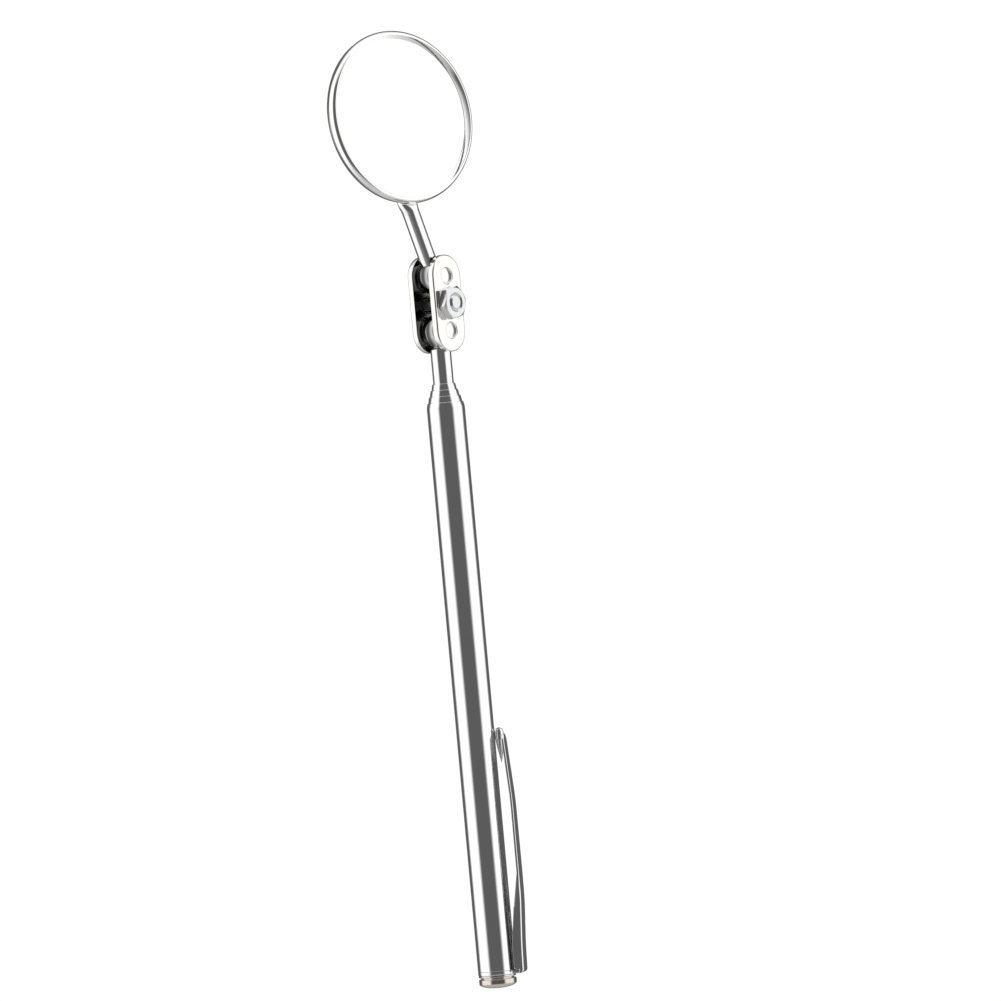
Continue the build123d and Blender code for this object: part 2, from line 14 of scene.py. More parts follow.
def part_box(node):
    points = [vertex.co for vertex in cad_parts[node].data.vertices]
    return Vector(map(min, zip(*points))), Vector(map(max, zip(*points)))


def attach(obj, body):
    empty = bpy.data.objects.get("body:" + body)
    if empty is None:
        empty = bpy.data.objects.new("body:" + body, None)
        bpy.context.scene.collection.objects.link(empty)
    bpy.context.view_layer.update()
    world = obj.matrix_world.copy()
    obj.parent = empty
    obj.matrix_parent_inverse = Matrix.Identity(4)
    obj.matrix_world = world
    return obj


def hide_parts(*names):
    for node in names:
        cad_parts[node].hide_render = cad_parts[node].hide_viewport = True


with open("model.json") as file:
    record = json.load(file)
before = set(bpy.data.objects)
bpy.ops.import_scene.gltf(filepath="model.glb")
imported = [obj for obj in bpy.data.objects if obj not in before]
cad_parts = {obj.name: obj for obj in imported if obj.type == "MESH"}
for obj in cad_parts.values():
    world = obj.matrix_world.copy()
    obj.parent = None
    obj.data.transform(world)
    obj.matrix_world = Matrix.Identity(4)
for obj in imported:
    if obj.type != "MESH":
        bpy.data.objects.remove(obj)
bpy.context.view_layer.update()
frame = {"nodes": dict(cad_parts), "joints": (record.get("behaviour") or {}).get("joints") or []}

MM = 0.001

# ---- Driving dimensions, the same as the CAD part's (mm) ----
TUBE_RADIUS = 3.5
RADIUS_STEP = 0.4
WALL = 0.22
MOUTH_CLEARANCE = 0.03
MOUTH_HEIGHT = 0.95
RING_THICKNESS = 0.69
JOINT_GAP = 0.02
PLUG_RADIUS = 3.45
CLIP_SHEET = 0.45
CLIP_WIDTH = 4.4
CLIP_TIP_WIDTH = 3.3
CLIP_TOP = 43.2
CLIP_FLANGE_TOP = 17.5
CLIP_FLANGE_FULL = 10.9
CLIP_STRAP = ((-0.71, 5.35), (4.6, 5.5), (13.0, 6.05), (31.0, 6.05), (43.2, 5.35))  # height, outer face
CLIP_FLANGE = ((0.15, 3.62), (4.6, 3.62), (10.9, 4.42), (17.5, 5.56))  # height, flange edge
CLIP_BEND = 0.7
CLIP_FOOT_IN = 4.5
TEAR_RADIUS = 0.84
TEAR_LENGTH = 6.6
TEAR_X = 4.38
BALL_RADIUS = 3.2
BALL_SPACING = 10.0
SEAT_CLEARANCE = 0.03
PLATE_GAP = 3.86
PLATE_THICKNESS = 1.2
PLATE_WIDTH = 7.8
PLATE_WINDOW = 1.55
PLATE_EDGE = 0.34
WINDOW_EDGE = 0.14
ROD_SHOULDER = 3.3
ROD_TAPER = 0.4
NECK_RADIUS = 1.5
SCREW_RADIUS = 1.46
SCREW_HOLE = 1.6
SCREW_HOLE_EDGE = 0.08
SCREW_POINT = 0.35
SCREW_HEAD_RADIUS = 2.8
SCREW_HEAD_HEIGHT = 1.5
SCREW_HEAD_SIDE = 0.45
SCREW_SLOT_TURN = 35
SCREW_SLOT_WIDTH = 0.7
SCREW_SLOT_DEPTH = 0.7
SCREW_END = 0.1
THREAD_PITCH = 0.5
NUT_ACROSS_FLATS = 5.5
NUT_THICKNESS = 1.6
NUT_CHAMFER = 0.3
NUT_TURN = 12.0
STEM_RADIUS = 1.6
STEM_REACH = 14.6
MIRROR_AZIMUTH = -42.1
MIRROR_ELEVATION = 5.75
FOOT_RADIUS = 15.93
FOOT_SETBACK = 1.6
CUP_RADIUS = 16.0
CUP_BACK_RADIUS = 15.85
CUP_DEPTH = 2.5
CUP_SHEET = 0.3
CROWN_WIDTH = 0.8
CROWN_ROUND = 0.12
LIP_WIDTH = 1.5
LIP_HEIGHT = 1.0
GLASS_RADIUS = 15.45

# ---- Places read from the frame ----
joints = {j["name"]: j for j in frame["joints"]}


def joint_point(name):
    return Vector(joints[name]["pos_m"]) / MM


UP = Vector((0, 0, 1))
LOWER_BALL = joint_point("link_swing")
UPPER_BALL = joint_point("head_swing")
LINK_MIDDLE = (LOWER_BALL + UPPER_BALL) / 2
PLATE_NORMAL = Vector(joints["link_swing"]["axis"]).normalized()
STEM_DIRECTION = Vector(joints["head_spin"]["axis"]).normalized()
MIRROR_NORMAL = Vector((
    cos(radians(MIRROR_ELEVATION)) * cos(radians(MIRROR_AZIMUTH)),
    cos(radians(MIRROR_ELEVATION)) * sin(radians(MIRROR_AZIMUTH)),
    sin(radians(MIRROR_ELEVATION)),
))
MIRROR_SIDE = UP.cross(MIRROR_NORMAL).normalized()
MIRROR_UP = MIRROR_NORMAL.cross(MIRROR_SIDE)
STEM_FOOT = UPPER_BALL + STEM_DIRECTION * STEM_REACH
MIRROR_CENTRE = STEM_FOOT + MIRROR_NORMAL * FOOT_SETBACK + MIRROR_UP * FOOT_RADIUS

# ---- Camera ----
VIEW_AZIMUTH = 10.0  # camera's turn about Z from looking along +Y
VIEW_ELEVATION = 0.5
VIEW_ROLL = 5.2  # lean of the handle in the picture
VIEW_DISTANCE = 1.6
VIEW_WIDTH = 0.1834  # width of the object's plane that fills the picture
VIEW_SIDE = 8.47  # picture's middle, to the right of the handle's axis
VIEW_HEIGHT = 86.5  # and up along it
SENSOR = 36.0


def view_axes():
    """Picture-right, picture-up and towards-camera directions."""
    azimuth, elevation, roll = (radians(a) for a in (VIEW_AZIMUTH, VIEW_ELEVATION, VIEW_ROLL))
    towards = Vector((sin(azimuth) * cos(elevation), -cos(azimuth) * cos(elevation), sin(elevation)))
    level = Vector((cos(azimuth), sin(azimuth), 0))
    upright = towards.cross(level)
    return (
        level * cos(roll) - upright * sin(roll),
        level * sin(roll) + upright * cos(roll),
        towards,
    )


def make_camera():
    right, up, towards = view_axes()
    data = bpy.data.cameras.new("camera")
    data.sensor_width = SENSOR
    data.lens = SENSOR * VIEW_DISTANCE / VIEW_WIDTH
    data.clip_start = 0.01
    data.clip_end = 50
    camera = bpy.data.objects.new("camera", data)
    target = (right * VIEW_SIDE + UP * VIEW_HEIGHT) * MM
    turn = Matrix((right, up, towards)).transposed().to_4x4()
    camera.matrix_world = Matrix.Translation(target + towards * VIEW_DISTANCE) @ turn
    bpy.context.scene.collection.objects.link(camera)
    bpy.context.scene.camera = camera


make_camera()

# ---- Studio ----
# Two equal soft boxes in a dim room, one on each side of the camera, open to white overhead.
STUDIO_KEY = -80.0  # heading of the camera's side of the room, degrees from +X
SOFTBOX_MIDDLE = 80.0  # each box's middle, degrees to either side of that heading
SOFTBOX_HALF = 25.0  # half its width
SOFTBOX_EDGE = 20.0  # how far it fades out beyond that
ROOM_LEVEL = 0.1  # grey of the room between the boxes
STUDIO_RISE = ((0.0, 0.5), (0.1, 0.25), (0.22, 0.0), (0.84, 0.0), (0.93, 0.7), (1.0, 1.0))  # share of white


def node_maker(tree):
    """Returns add(type, **settings) and link(output, input) for a node tree."""
    def add(kind, **settings):
        node = tree.nodes.new(kind)
        for key, value in settings.items():
            if hasattr(node, key):
                setattr(node, key, value)
            else:
                node.inputs[key.replace("_", " ")].default_value = value
        return node

    def link(output, target):
        tree.links.new(output, target)

    return add, link


def fill_ramp(ramp, stops):
    """Sets a colour ramp to (position, grey or colour) stops."""
    elements = ramp.elements
    while len(elements) > 1:
        elements.remove(elements[-1])
    for number, (place, value) in enumerate(stops):
        element = elements[0] if number == 0 else elements.new(place)
        element.position = place
        colour = value if isinstance(value, tuple) else (value, value, value)
        element.color = (*colour, 1)


def make_world():
    world = bpy.data.worlds.new("studio")
    world.use_nodes = True
    tree = world.node_tree
    tree.nodes.clear()
    add, link = node_maker(tree)
    place = add("ShaderNodeTexCoord")
    turn = add("ShaderNodeMapping", vector_type="POINT")
    turn.inputs["Rotation"].default_value = (0, 0, radians(-STUDIO_KEY))
    link(place.outputs["Generated"], turn.inputs["Vector"])
    split = add("ShaderNodeSeparateXYZ")
    link(turn.outputs[0], split.inputs[0])
    heading = add("ShaderNodeMath", operation="ARCTAN2")
    link(split.outputs["Y"], heading.inputs[0])
    link(split.outputs["X"], heading.inputs[1])
    to_side = add("ShaderNodeMath", operation="ABSOLUTE")
    link(heading.outputs[0], to_side.inputs[0])
    from_middle = add("ShaderNodeMath", operation="SUBTRACT")
    from_middle.inputs[1].default_value = radians(SOFTBOX_MIDDLE)
    link(to_side.outputs[0], from_middle.inputs[0])
    off_box = add("ShaderNodeMath", operation="ABSOLUTE")
    link(from_middle.outputs[0], off_box.inputs[0])
    ring = add("ShaderNodeMapRange", interpolation_type="SMOOTHSTEP")
    ring.inputs["From Min"].default_value = radians(SOFTBOX_HALF)
    ring.inputs["From Max"].default_value = radians(SOFTBOX_HALF + SOFTBOX_EDGE)
    ring.inputs["To Min"].default_value = 1.0
    ring.inputs["To Max"].default_value = ROOM_LEVEL
    link(off_box.outputs[0], ring.inputs["Value"])
    height = add("ShaderNodeValToRGB")
    fill_ramp(height.color_ramp, STUDIO_RISE)
    up_share = add("ShaderNodeMapRange")
    up_share.inputs["From Min"].default_value = -1
    up_share.inputs["From Max"].default_value = 1
    link(split.outputs["Z"], up_share.inputs["Value"])
    link(up_share.outputs["Result"], height.inputs[0])
    mix = add("ShaderNodeMixRGB", blend_type="MIX")
    mix.inputs["Color2"].default_value = (1, 1, 1, 1)
    link(height.outputs[0], mix.inputs["Fac"])
    link(ring.outputs[0], mix.inputs["Color1"])
    rays = add("ShaderNodeLightPath")
    seen = add("ShaderNodeBackground")
    seen.inputs["Color"].default_value = (1, 1, 1, 1)
    seen.inputs["Strength"].default_value = 1.02
    studio = add("ShaderNodeBackground")
    studio.inputs["Strength"].default_value = 1.12
    link(mix.outputs[0], studio.inputs["Color"])
    choose = add("ShaderNodeMixShader")
    link(rays.outputs["Is Camera Ray"], choose.inputs["Fac"])
    link(studio.outputs[0], choose.inputs[1])
    link(seen.outputs[0], choose.inputs[2])
    out = add("ShaderNodeOutputWorld")
    link(choose.outputs[0], out.inputs["Surface"])
    bpy.context.scene.world = world


make_world()
bpy.context.scene.view_settings.view_transform = "Standard"

# ---- Materials ----
EDGE_WEAR = 0.12  # width of the rubbed band along an edge (mm)
EDGE_DULLNESS = 0.12  # roughness added there


def metal(
    name, colour, roughness, grain=(900, 900, 900), grain_depth=0.02, smudge=90.0, tarnish=0.0, painted_gap_shade=()
):
    """Plated metal: fine grain lines, handling smudges, edges rubbed dull, slight tint in the plating.

    The last argument paints shade into the colour between the link's plates, a tenth as bright up to the
    first distance from the link's middle plane and full again by the second (mm).
    """
    material = bpy.data.materials.new(name)
    material.use_nodes = True
    tree = material.node_tree
    tree.nodes.clear()
    add, link = node_maker(tree)
    shader = add("ShaderNodeBsdfPrincipled")
    shader.inputs["Metallic"].default_value = 1.0
    out = add("ShaderNodeOutputMaterial")
    link(shader.outputs[0], out.inputs["Surface"])
    place = add("ShaderNodeTexCoord")
    stretch = add("ShaderNodeMapping")
    stretch.inputs["Scale"].default_value = grain
    link(place.outputs["Object"], stretch.inputs["Vector"])
    lines = add("ShaderNodeTexNoise")
    lines.inputs["Scale"].default_value = 1.0
    lines.inputs["Detail"].default_value = 4.0
    link(stretch.outputs[0], lines.inputs["Vector"])
    marks = add("ShaderNodeTexNoise")
    marks.inputs["Scale"].default_value = smudge
    marks.inputs["Detail"].default_value = 5.0
    marks.inputs["Roughness"].default_value = 0.62
    link(place.outputs["Object"], marks.inputs["Vector"])
    gloss = add("ShaderNodeMapRange")
    gloss.inputs["From Min"].default_value = 0.35
    gloss.inputs["From Max"].default_value = 0.75
    gloss.inputs["To Min"].default_value = roughness
    gloss.inputs["To Max"].default_value = roughness * 2.4
    link(marks.outputs["Fac"], gloss.inputs["Value"])
    fine = add("ShaderNodeMapRange")
    fine.inputs["From Min"].default_value = 0.45
    fine.inputs["From Max"].default_value = 0.8
    fine.inputs["To Min"].default_value = 0.0
    fine.inputs["To Max"].default_value = roughness * 0.9
    link(lines.outputs["Fac"], fine.inputs["Value"])
    total = add("ShaderNodeMath", operation="ADD")
    link(gloss.outputs[0], total.inputs[0])
    link(fine.outputs[0], total.inputs[1])
    softened = add("ShaderNodeBevel")
    softened.samples = 4
    softened.inputs["Radius"].default_value = EDGE_WEAR * MM
    surface = add("ShaderNodeNewGeometry")
    match = add("ShaderNodeVectorMath", operation="DOT_PRODUCT")
    link(softened.outputs[0], match.inputs[0])
    link(surface.outputs["Normal"], match.inputs[1])
    rubbed = add("ShaderNodeMapRange")
    rubbed.inputs["From Min"].default_value = 0.995
    rubbed.inputs["From Max"].default_value = 0.9
    rubbed.inputs["To Min"].default_value = 0.0
    rubbed.inputs["To Max"].default_value = EDGE_DULLNESS
    link(match.outputs["Value"], rubbed.inputs["Value"])
    worn_gloss = add("ShaderNodeMath", operation="ADD")
    link(total.outputs[0], worn_gloss.inputs[0])
    link(rubbed.outputs[0], worn_gloss.inputs[1])
    link(worn_gloss.outputs[0], shader.inputs["Roughness"])
    tint = add("ShaderNodeValToRGB")
    worn = tuple(c * w for c, w in zip(colour, (1.0 - 0.3 * tarnish, 1.0 - 0.55 * tarnish, 1.0 - tarnish)))
    fill_ramp(tint.color_ramp, [(0.3, worn), (0.6, colour)])
    link(marks.outputs["Fac"], tint.inputs[0])
    finish = tint.outputs[0]
    # Painted shade: the colour is darkened between the link's plates, where the gap lies in shade.
    if painted_gap_shade:
        across = add("ShaderNodeVectorMath", operation="DOT_PRODUCT")
        across.inputs[1].default_value = PLATE_NORMAL
        link(place.outputs["Object"], across.inputs[0])
        off_middle = add("ShaderNodeMath", operation="ABSOLUTE")
        link(across.outputs["Value"], off_middle.inputs[0])
        unshaded_share = add("ShaderNodeMapRange")
        unshaded_share.inputs["From Min"].default_value = painted_gap_shade[0] * MM
        unshaded_share.inputs["From Max"].default_value = painted_gap_shade[1] * MM
        unshaded_share.inputs["To Min"].default_value = 0.1
        unshaded_share.inputs["To Max"].default_value = 1.0
        link(off_middle.outputs[0], unshaded_share.inputs["Value"])
        gap_shaded = add("ShaderNodeVectorMath", operation="SCALE")
        link(finish, gap_shaded.inputs[0])
        link(unshaded_share.outputs[0], gap_shaded.inputs["Scale"])
        finish = gap_shaded.outputs[0]
    link(finish, shader.inputs["Base Color"])
    bump = add("ShaderNodeBump")
    bump.inputs["Strength"].default_value = grain_depth
    bump.inputs["Distance"].default_value = 0.00002
    link(lines.outputs["Fac"], bump.inputs["Height"])
    link(bump.outputs[0], shader.inputs["Normal"])
    return material


def make_materials():
    along = (2600, 2600, 70)  # drawn lines along Z
    return {
        "tube": metal("tube_chrome", (0.93, 0.93, 0.94), 0.035, along, 0.05, 110, 0.04),
        "rod": metal("rod_chrome", (0.92, 0.92, 0.93), 0.04, along, 0.05, 160, 0.04),
        "cup": metal("cup_chrome", (0.93, 0.93, 0.93), 0.04, (1200, 1200, 1200), 0.04, 140, 0.05),
        "ball": metal(
            "ball_steel", (0.90, 0.90, 0.91), 0.03, (1500, 1500, 1500), 0.03, 200, 0.03,
            # painted shade: the ball's colour is darkened on its band between the plates
            painted_gap_shade=(0.25, 1.2),
        ),
        "plate": metal(
            "plate_nickel", (0.92, 0.91, 0.89), 0.07, (1500, 1500, 300), 0.08, 180, 0.08,
            # painted shade: the plates' inner faces are darkened where they face the gap
            painted_gap_shade=(PLATE_GAP / 2 + 0.03, PLATE_GAP / 2 + 0.08),
        ),
        "fastener": metal("fastener_zinc", (0.78, 0.79, 0.81), 0.10, (2500, 2500, 2500), 0.12, 300, 0.12),
        "clip": metal("clip_steel", (0.91, 0.91, 0.92), 0.06, (1800, 1800, 160), 0.08, 150, 0.06),
        "plug": metal("plug_nickel", (0.74, 0.70, 0.65), 0.07, (1600, 1600, 400), 0.06, 220, 0.15),
        "sleeve": metal("sleeve_bronze", (0.75, 0.50, 0.27), 0.25, (1500, 1500, 100), 0.15, 300, 0.3),
    }


# ---- Mesh helpers ----


def rounded(points, closed=False, steps=5):
    """Points of an outline; a third number rounds that corner by so many millimetres."""
    result = []
    count = len(points)
    for number, point in enumerate(points):
        here = Vector(point[:2])
        radius = point[2] if len(point) > 2 else 0
        if radius == 0 or (not closed and number in (0, count - 1)):
            result.append(here)
            continue
        before = Vector(points[number - 1][:2]) - here
        after = Vector(points[(number + 1) % count][:2]) - here
        half = before.angle(after) / 2
        reach = min(radius / tan(half), 0.49 * before.length, 0.49 * after.length)
        start = here + before.normalized() * reach
        end = here + after.normalized() * reach
        turn = reach * tan(half)
        centre = here + (before.normalized() + after.normalized()).normalized() * (turn / sin(half))
        first = start - centre
        sweep = first.angle_signed(end - centre)
        for step in range(steps + 1):
            angle = -sweep * step / steps
            result.append(centre + Matrix.Rotation(angle, 2) @ first)
    return result


def mesh_piece(name, points, faces, material, body, node, sharp=40.0, weighted=True):
    """A mesh from millimetre points, shaded smooth with real sharp edges, riding on a body."""
    mesh = bpy.data.meshes.new(name)
    mesh.from_pydata([Vector(p) * MM for p in points], [], faces)
    mesh.validate()
    mesh.polygons.foreach_set("use_smooth", [True] * len(mesh.polygons))
    mesh.set_sharp_from_angle(angle=radians(sharp))
    piece = bpy.data.objects.new(name, mesh)
    bpy.context.scene.collection.objects.link(piece)
    mesh.materials.append(material)
    if weighted:
        keep = piece.modifiers.new("normals", "WEIGHTED_NORMAL")
        keep.keep_sharp = True
    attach(piece, body)
    if node:
        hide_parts(node)
    return piece


def frame_of(origin, axis, across):
    """Origin and unit directions (across, second, axis) of a local frame."""
    axis = axis.normalized()
    across = (across - axis * across.dot(axis)).normalized()
    return origin, across, axis.cross(across), axis


def lathe_mesh(outline, place, segments=128, radius_at=None):
    """Turns (radius, height) points about a local frame's axis. Closed outlines make tubes."""
    origin, across, second, axis = place
    points, rings = [], []
    for radius, height in outline:
        if radius < 1e-6:
            rings.append([len(points)])
            points.append(origin + axis * height)
            continue
        ring = []
        for step in range(segments):
            angle = 2 * pi * step / segments
            reach = radius_at(radius, height, angle) if radius_at else radius
            ring.append(len(points))
            points.append(origin + across * (reach * cos(angle)) + second * (reach * sin(angle)) + axis * height)
        rings.append(ring)
    if len(rings[0]) > 1 and len(rings[-1]) > 1:
        rings.append(rings[0])
    faces = []
    for low, high in zip(rings, rings[1:]):
        for step in range(segments):
            after = (step + 1) % segments
            if len(low) == 1 and len(high) == 1:
                break
            if len(low) == 1:
                faces.append((low[0], high[after], high[step]))
            elif len(high) == 1:
                faces.append((low[step], low[after], high[0]))
            else:
                faces.append((low[step], low[after], high[after], high[step]))
    return points, faces


def arc(centre, radius, start, end, steps=10):
    """Points of a circular arc, angles in degrees."""
    return [
        (
            centre[0] + radius * cos(radians(start + (end - start) * n / steps)),
            centre[1] + radius * sin(radians(start + (end - start) * n / steps)),
        )
        for n in range(steps + 1)
    ]


HANDLE_PLACE = frame_of(Vector((0, 0, 0)), UP, Vector((1, 0, 0)))

materials = make_materials()


def draw_radius(number):
    return TUBE_RADIUS - RADIUS_STEP * number


# ---- Telescopic tubes ----


def tube_piece(number, node, body):
    """Thin tube with a mouth rolled in over the next draw and, on inner draws, a foot and bead."""
    radius = draw_radius(number)
    inner = radius - WALL
    low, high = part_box(node)
    foot, top = low.z / MM, high.z / MM
    mouth = draw_radius(number + 1) + MOUTH_CLEARANCE
    shoulder = top - MOUTH_HEIGHT
    outline = []
    if number:
        flare = radius + RADIUS_STEP - WALL - 0.03
        bead = foot + 8.7
        outline += [
            (flare, foot, 0.05),
            (flare, foot + 0.5, 0.05),
            (radius, foot + 0.5),
            (radius, bead),
            (radius + 0.1, bead + 0.15),
            (radius + 0.1, bead + 0.35),
            (radius, bead + 0.5),
        ]
    else:
        outline.append((radius, foot, 0.06))
    outline += [
        (radius, shoulder, 1.6),
        (mouth + 0.16, top - 0.04, 0.1),
        (mouth, top - 0.04, 0.05),
        (mouth, top - 0.42, 0.2),
        (inner, shoulder - 0.1, 0.3),
        (inner, foot),
    ]
    points, faces = lathe_mesh(rounded(outline, closed=True, steps=7), HANDLE_PLACE, 160)
    return mesh_piece(node + "_drawn", points, faces, materials["tube"], body, node)


tube_piece(0, "outer_tube", "handle")
for draw in (1, 2, 3):
    tube_piece(draw, f"section_tube_{draw}", f"draw_{draw}")


def rod_piece():
    """Inner rod with its foot, bead, tapered shoulder, neck and spigot."""
    low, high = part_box("inner_rod")
    foot = low.z / MM
    radius = draw_radius(4)
    ball_flat = LOWER_BALL.z - sqrt(BALL_RADIUS**2 - NECK_RADIUS**2)
    shoulder = LOWER_BALL.z - ROD_SHOULDER
    flare = radius + RADIUS_STEP - WALL - 0.03
    bead = foot + 8.7
    outline = [
        (0, foot),
        (flare, foot, 0.05),
        (flare, foot + 0.5, 0.05),
        (radius, foot + 0.5),
        (radius, bead),
        (radius + 0.1, bead + 0.15),
        (radius + 0.1, bead + 0.35),
        (radius, bead + 0.5),
        (radius, shoulder, 0.15),
        (NECK_RADIUS, shoulder + ROD_TAPER, 0.2),
        (NECK_RADIUS, ball_flat - JOINT_GAP),
        (1.0, ball_flat - JOINT_GAP),
        (1.0, high.z / MM),
        (0, high.z / MM),
    ]
    points, faces = lathe_mesh(rounded(outline), HANDLE_PLACE, 128)
    mesh_piece("inner_rod_turned", points, faces, materials["rod"], "rod", "inner_rod")


rod_piece()


# ---- End plug and clip ring ----


def plug_piece():
    """Domed plug: thin flange, groove, cap with a rounded rim and a full dome."""
    low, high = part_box("end_plug")
    apex, top = low.z / MM, high.z / MM
    flange = -2 * JOINT_GAP - RING_THICKNESS
    groove = flange - 0.4
    cap = groove - 0.32
    rim = cap - 0.8
    spigot = TUBE_RADIUS - WALL - 0.03
    dome = [(0, apex)]
    steps = 22
    for n in range(1, steps + 1):
        angle = pi / 2 * n / steps
        dome.append((PLUG_RADIUS * sin(angle) ** 0.9, rim - (rim - apex) * cos(angle)))
    outline = dome + [
        (PLUG_RADIUS, cap, 0.12),
        (PLUG_RADIUS - 0.42, cap - 0.02, 0.08),
        (PLUG_RADIUS - 0.42, groove + 0.02, 0.08),
        (PLUG_RADIUS, groove, 0.12),
        (PLUG_RADIUS, flange, 0.1),
        (spigot, flange),
        (spigot, top - 0.6, 0.2),
        (spigot - 0.4, top, 0.1),
        (0, top),
    ]
    points, faces = lathe_mesh(rounded(outline), HANDLE_PLACE, 144)
    mesh_piece("end_plug_turned", points, faces, materials["plug"], "handle", "end_plug")


plug_piece()


def ring_piece():
    """Washer end of the clip with its tab, blanked from sheet."""
    low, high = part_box("clip_ring")
    bottom, top = low.z / MM, high.z / MM
    bore = TUBE_RADIUS - WALL
    half_tab = (CLIP_WIDTH - 2 * CLIP_SHEET - 0.3) / 2
    start = sqrt(TUBE_RADIUS**2 - half_tab**2)
    sweep = 2 * pi - 2 * atan2(half_tab, start)
    outline = [(high.x / MM, half_tab)]
    steps = 120
    for n in range(steps + 1):
        angle = atan2(half_tab, start) + sweep * n / steps
        outline.append((TUBE_RADIUS * cos(angle), TUBE_RADIUS * sin(angle)))
    outline.append((high.x / MM, -half_tab))
    hole = [(bore * cos(2 * pi * n / steps), bore * sin(2 * pi * n / steps)) for n in range(steps)]
    points, faces = plate_mesh([outline, hole], bottom, top, 0.07)
    mesh_piece("clip_ring_blank", points, faces, materials["clip"], "handle", "clip_ring")


def plate_mesh(outlines, bottom, top, edge):
    """Flat plate between outlines in XY, the first outside and the rest holes, edges eased."""
    points, faces, rims = [], [], {bottom: [], top: []}
    for number, outline in enumerate(outlines):
        count = len(outline)
        loops = []
        for height, inset in (
            (bottom, edge), (bottom + 0.3 * edge, 0.3 * edge), (bottom + edge, 0.0),
            (top - edge, 0.0), (top - 0.3 * edge, 0.3 * edge), (top, edge),
        ):
            moved = offset_outline(outline, inset if number == 0 else -inset)
            loops.append(list(range(len(points), len(points) + count)))
            points += [Vector((x, y, height)) for x, y in moved]
        for low, high in zip(loops, loops[1:]):
            for step in range(count):
                after = (step + 1) % count
                faces.append((low[step], low[after], high[after], high[step]))
        rims[bottom].append(loops[0])
        rims[top].append(loops[-1])
    for height, loops in rims.items():
        flat = [[Vector((points[i].x, points[i].y, 0)) for i in loop] for loop in loops]
        order = [i for loop in loops for i in loop]
        for triangle in tessellate_polygon(flat):
            faces.append(tuple(order[i] for i in triangle))
    return points, faces


def offset_outline(outline, inset):
    """Moves an outline inwards (counter-clockwise outlines) by an inset."""
    moved = []
    count = len(outline)
    for number in range(count):
        here = Vector(outline[number])
        before = (here - Vector(outline[number - 1])).normalized()
        after = (Vector(outline[(number + 1) % count]) - here).normalized()
        side = Vector((-before.y - after.y, before.x + after.x))
        scale = max(0.5, (1 + before.dot(after)) / 2)
        moved.append(here + side.normalized() * inset / sqrt(scale))
    return moved


ring_piece()


# ---- Pocket clip ----


def along(stations, height):
    """Straight-line reading between (height, value) stations."""
    for (low, first), (high, second) in zip(stations, stations[1:]):
        if height <= high:
            share = max(0.0, (height - low) / (high - low))
            return first + (second - first) * share
    return stations[-1][1]


def bowed(stations, height, reach=1.6):
    """The same reading averaged over a short stretch, so that the strip bends instead of kinking."""
    steps = 8
    spots = [height + reach * (2 * n / steps - 1) for n in range(steps + 1)]
    low, high = stations[0][0], stations[-1][0]
    return sum(along(stations, min(max(spot, low), high)) for spot in spots) / (steps + 1)


def clip_row(height, outer, web, edge, half, pocket_half):
    """One level of the clip's U section, from one flange edge round to the other."""
    fold = min(0.42, max(0.06, 0.45 * (outer - edge)), 0.8 * half)
    corner = []
    for n in range(7):
        angle = pi / 2 * n / 6
        corner.append((outer - fold + fold * sin(angle), half - fold + fold * cos(angle)))
    inner_fold = min(0.12, 0.4 * max(web - edge, 0.01), 0.5 * pocket_half)
    inside = []
    for n in range(4):
        angle = pi / 2 * n / 3
        inside.append((
            web - inner_fold + inner_fold * cos(angle),
            pocket_half - inner_fold + inner_fold * sin(angle),
        ))
    ease = min(0.06, 0.3 * half)
    side = [(edge, half - ease), (edge + 0.3 * ease, half - 0.3 * ease), (edge + ease, half)] + corner
    back = [(x, -y) for x, y in reversed(side)]
    pocket = [(edge, -pocket_half)] + [(x, -y) for x, y in reversed(inside)] + inside + [(edge, pocket_half)]
    return [Vector((x, y, height)) for x, y in side + back + pocket]


